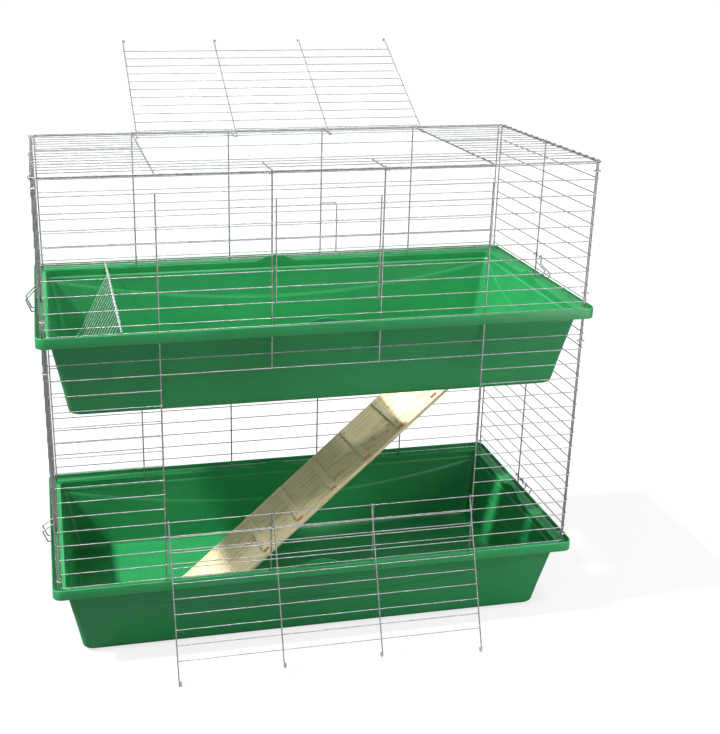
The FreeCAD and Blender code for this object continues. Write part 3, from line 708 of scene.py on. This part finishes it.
def flat_cap(builder, loops):
    """Fills the flat region between closed rings that are already in the builder."""
    mesh = bmesh.new()
    index_of = {}
    for loop in loops:
        verts = []
        for index in loop:
            vert = mesh.verts.new(builder.points[index])
            index_of[vert] = index
            verts.append(vert)
        for a, b in zip(verts, verts[1:] + verts[:1]):
            mesh.edges.new((a, b))
    bmesh.ops.triangle_fill(mesh, edges=mesh.edges, use_beauty=True)
    for face in mesh.faces:
        builder.faces.append(tuple(index_of[v] for v in face.verts))
    mesh.free()


def rounded_loop(low, high, radii, grow, z):
    """Rectangle with its own radius at each corner, grown outwards, at one height."""
    points = []
    for quarter in range(4):
        sign_x = (1, -1, -1, 1)[quarter]
        sign_y = (1, 1, -1, -1)[quarter]
        radius = radii[quarter] + grow
        centre_x = (high[0] if sign_x > 0 else low[0]) - sign_x * radii[quarter]
        centre_y = (high[1] if sign_y > 0 else low[1]) - sign_y * radii[quarter]
        for k in range(LOOP_STEPS + 1):
            angle = math.pi / 2 * (quarter + k / LOOP_STEPS)
            points.append((centre_x + radius * math.cos(angle), centre_y + radius * math.sin(angle), z))
    return points


HOLE_LOW = (130 * MM, -135 * MM)
HOLE_HIGH = (384 * MM, 90 * MM)
HOLE_CORNERS = (12 * MM, 30 * MM, 30 * MM, 12 * MM)
COLLAR_HEIGHT = 12.0
COLLAR_MARGIN = 9.0
BEAD_RADIUS = 2.5 * MM
BEAD_SIDES = 16
# Collar from the top of the floor, over its edge, to the underside:
# growth out from the hole, height over the floor, fillet.
COLLAR_PROFILE = [
    (COLLAR_MARGIN, 0, 0), (WALL, 0, 1.8), (WALL, COLLAR_HEIGHT, 1.1), (0, COLLAR_HEIGHT, 1.1),
    (0, -WALL, 1.0), (COLLAR_MARGIN, -WALL, 0),
]

FOOT_X = (-487, -433, 412, 462)
FOOT_Y = (-196, 196)
FOOT_SIZE = (26, 14)
MIDDLE_FOOT_SIZE = (60, 40)
FOOT_CORNER = 3 * MM
# Growth from the foot's outline and height over the tray's underside, from the root to the sole.
FOOT_STAGES = ((1.0, 0.4), (0.2, -2.4), (0.0, -3.4), (-0.7, -4.0))


def add_hole_collar(builder, floor_z):
    """Collar and bead round the ramp hole; returns its rings in the floor's two faces."""
    loops = []
    for grow, height in fillet_profile(COLLAR_PROFILE):
        z = floor_z + height * MM
        loops.append(builder.ring(rounded_loop(HOLE_LOW, HOLE_HIGH, HOLE_CORNERS, grow * MM, z)))
    builder.skin(loops)
    bead_x = HOLE_HIGH[0] + PLASTIC / 2
    bead_z = floor_z + COLLAR_HEIGHT * MM
    bead_low = HOLE_LOW[1] + HOLE_CORNERS[0]
    bead_high = HOLE_HIGH[1] - HOLE_CORNERS[0]
    builder.tube([(bead_x, bead_low, bead_z), (bead_x, bead_high, bead_z)], BEAD_RADIUS, BEAD_SIDES)
    return loops[0], loops[-1]


def add_foot(builder, centre, size, underside):
    """Low pad with an eased sole; centre and size are in millimetres."""
    low = [(middle - side / 2) * MM for middle, side in zip(centre, size)]
    high = [(middle + side / 2) * MM for middle, side in zip(centre, size)]
    rings = []
    for grow, height in FOOT_STAGES:
        z = underside + height * MM
        rings.append(builder.ring(rounded_loop(low, high, (FOOT_CORNER,) * 4, grow * MM, z)))
    builder.skin(rings, capped=True)


def make_tray(node, rim_z):
    builder = Builder()
    rings = [builder.ring(points) for points in tray_rings(rim_z)]
    builder.skin(rings)
    floor_loops, under_loops = [rings[0]], [rings[-1]]
    if node == "upper_tray":
        floor_loop, under_loop = add_hole_collar(builder, rim_z - FLOOR_DEPTH)
        floor_loops.append(floor_loop)
        under_loops.append(under_loop)
    flat_cap(builder, floor_loops)
    flat_cap(builder, under_loops)
    underside = rim_z - TRAY_DEPTH
    for x in FOOT_X:
        for y in FOOT_Y:
            add_foot(builder, (x, y), FOOT_SIZE, underside)
    add_foot(builder, (0, 0), MIDDLE_FOOT_SIZE, underside)
    builder.piece(node + "_moulding", "cage", [node], PLASTIC_GREEN, 40)


LOWER_RIM = TRAY_HIGH.z - TAB_RISE
UPPER_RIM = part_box("upper_tray")[1].z - TAB_RISE
make_tray("lower_tray", LOWER_RIM)
make_tray("upper_tray", UPPER_RIM)


# ---- ramp ----


def box_of(points):
    """Placement and sizes of a box-shaped solid; local X is its longest edge, Z its shortest."""
    centre = points.mean(axis=0)
    corner = points[0]
    edges = sorted((points[1:] - corner), key=lambda edge: float(np.linalg.norm(edge)))
    axes = [edges[0]]
    for edge in edges[1:]:
        if all(abs(edge @ axis) < 1e-3 * np.linalg.norm(edge) * np.linalg.norm(axis) for axis in axes):
            axes.append(edge)
    short, middle, long_edge = axes[:3]
    sizes = [float(np.linalg.norm(axis)) for axis in (long_edge, middle, short)]
    units = [Vector(axis).normalized() for axis in (long_edge, middle, short)]
    if units[2].z < 0:
        units[2] = -units[2]
    units[1] = units[2].cross(units[0])
    place = Matrix((units[0], units[1], units[2])).transposed().to_4x4()
    place.translation = Vector(centre)
    return place, sizes


BOARD_BEVEL = 0.9 * MM
CLEAT_BEVEL = 0.7 * MM
CORNER_PER_BEVEL = 1.6
EASE = 0.3


def planed_block(builder, sizes, bevel, shift=Matrix.Identity(4)):
    """Board with eased edges, drawn about its own centre and then shifted."""
    half = Vector(sizes) / 2
    outline = rounded_loop((-half.x, -half.y), (half.x, half.y), (bevel * CORNER_PER_BEVEL,) * 4, 0, 0)
    ease = bevel * EASE
    levels = [(-half.z, -bevel), (-half.z + ease, -ease), (-half.z + bevel, 0),
              (half.z - bevel, 0), (half.z - ease, -ease), (half.z, -bevel)]
    rings = []
    for z, grow in levels:
        scale_x = (half.x + grow) / half.x
        scale_y = (half.y + grow) / half.y
        rings.append(builder.ring([shift @ Vector((x * scale_x, y * scale_y, z)) for x, y, _ in outline]))
    builder.skin(rings, capped=True)


def make_ramp():
    board_place, board_sizes = box_of(solids_of("ramp_board")[0])
    board = Builder()
    planed_block(board, board_sizes, BOARD_BEVEL)
    board.piece("ramp_board_planed", "ramp", ["ramp_board"], BOARD, 50, board_place)
    boxes = [box_of(points) for points in solids_of("ramp_cleats")]
    first_place = boxes[0][0]
    cleats = Builder()
    for place, sizes in boxes:
        planed_block(cleats, sizes, CLEAT_BEVEL, first_place.inverted() @ place)
    cleats.piece("ramp_cleats_sawn", "ramp", ["ramp_cleats"], CLEAT, 50, first_place)


make_ramp()


# ---- CAD pieces that keep their shape ----

KEPT = {
    "upper_left_bail": WIRE, "upper_right_bail": WIRE, "lower_left_bail": WIRE, "lower_right_bail": WIRE,
    "upper_door_latch": WIRE, "upper_door_latch_guides": CLIP, "top_panel_clips": CLIP,
    "upper_corner_clips": CLIP, "lower_corner_clips": CLIP, "ramp_cleat_nails": NAIL,
    "ramp_hook": HOOK, "ramp_hook_screws": NAIL,
}
for node, material in KEPT.items():
    materials = frame["nodes"][node].data.materials
    materials.clear()
    materials.append(material)


# ---- stage, light and camera ----


# The floor reflects little onto the cage, and glows just enough to look white to the camera.
FLOOR_BOUNCE = 0.14
FLOOR_SEEN = 0.16
FLOOR_GLOW = 0.76


def make_stage():
    bpy.ops.mesh.primitive_circle_add(vertices=96, radius=14, fill_type="NGON", location=(0, 0, 0))
    floor = bpy.context.object
    floor.name = "studio_floor"
    paint = Finish("studio_floor", Roughness=0.9, Emission_Color=(1, 1, 1, 1))
    seen = paint.node("ShaderNodeLightPath").outputs["Is Camera Ray"]
    paint.colour(paint.mix(seen, grey(FLOOR_BOUNCE), grey(FLOOR_SEEN)))
    paint.plug(paint.levels(seen, 0, FLOOR_GLOW), paint.shader.inputs["Emission Strength"])
    floor.data.materials.append(paint.material)


def make_light(name, towards, energy, angle):
    """Distant lamp; towards points from the cage to the lamp."""
    lamp = bpy.data.lights.new(name, "SUN")
    lamp.energy = energy
    lamp.angle = math.radians(angle)
    holder = bpy.data.objects.new(name, lamp)
    bpy.context.scene.collection.objects.link(holder)
    holder.rotation_euler = Vector(towards).to_track_quat("Z", "Y").to_euler()


def make_panel_light(name, place, aim, energy, size):
    """Square soft lamp that the camera doesn't see."""
    lamp = bpy.data.lights.new(name, "AREA")
    lamp.energy = energy
    lamp.size = size
    holder = bpy.data.objects.new(name, lamp)
    bpy.context.scene.collection.objects.link(holder)
    holder.location = place
    holder.rotation_euler = (Vector(place) - Vector(aim)).to_track_quat("Z", "Y").to_euler()
    holder.visible_camera = False


def make_world():
    world = bpy.data.worlds.new("studio")
    bpy.context.scene.world = world
    world.use_nodes = True
    tree = world.node_tree
    output = tree.nodes["World Output"]
    seen = tree.nodes["Background"]
    seen.inputs["Color"].default_value = (1, 1, 1, 1)
    seen.inputs["Strength"].default_value = 1.05
    fill = tree.nodes.new("ShaderNodeBackground")
    fill.inputs["Strength"].default_value = 0.66
    place = tree.nodes.new("ShaderNodeTexCoord")
    apart = tree.nodes.new("ShaderNodeSeparateXYZ")
    ramp = tree.nodes.new("ShaderNodeValToRGB")
    ramp.color_ramp.elements[0].position = 0.0
    ramp.color_ramp.elements[0].color = (0.47, 0.47, 0.475, 1)
    ramp.color_ramp.elements[1].position = 0.85
    ramp.color_ramp.elements[1].color = (1, 1, 1, 1)
    path = tree.nodes.new("ShaderNodeLightPath")
    mix = tree.nodes.new("ShaderNodeMixShader")
    link = tree.links.new
    link(place.outputs["Generated"], apart.inputs["Vector"])
    link(apart.outputs["Z"], ramp.inputs["Fac"])
    link(ramp.outputs["Color"], fill.inputs["Color"])
    link(path.outputs["Is Camera Ray"], mix.inputs["Fac"])
    link(fill.outputs["Background"], mix.inputs[1])
    link(seen.outputs["Background"], mix.inputs[2])
    link(mix.outputs["Shader"], output.inputs["Surface"])


def make_camera():
    data = bpy.data.cameras.new("camera")
    data.sensor_fit = "HORIZONTAL"
    data.sensor_width = 36
    data.lens = 57.846
    data.shift_x = 0.0972
    data.shift_y = 0.0084
    camera = bpy.data.objects.new("camera", data)
    camera.location = (-0.5513, -2.5111, 1.4775)
    camera.rotation_euler = Euler((math.radians(70.066), math.radians(-0.448), math.radians(-11.826)))
    bpy.context.scene.collection.objects.link(camera)
    bpy.context.scene.camera = camera


make_stage()
make_light("key_left", (-0.57, -0.02, 0.80), 5.2, 5)
make_light("key_top", (0.10, -0.35, 0.93), 1.4, 12)
make_panel_light("fill_right", (1.3, -1.25, 0.6), (0.2, 0, 0.30), 7, 0.9)
make_world()
make_camera()
bpy.context.scene.view_settings.view_transform = "Standard"
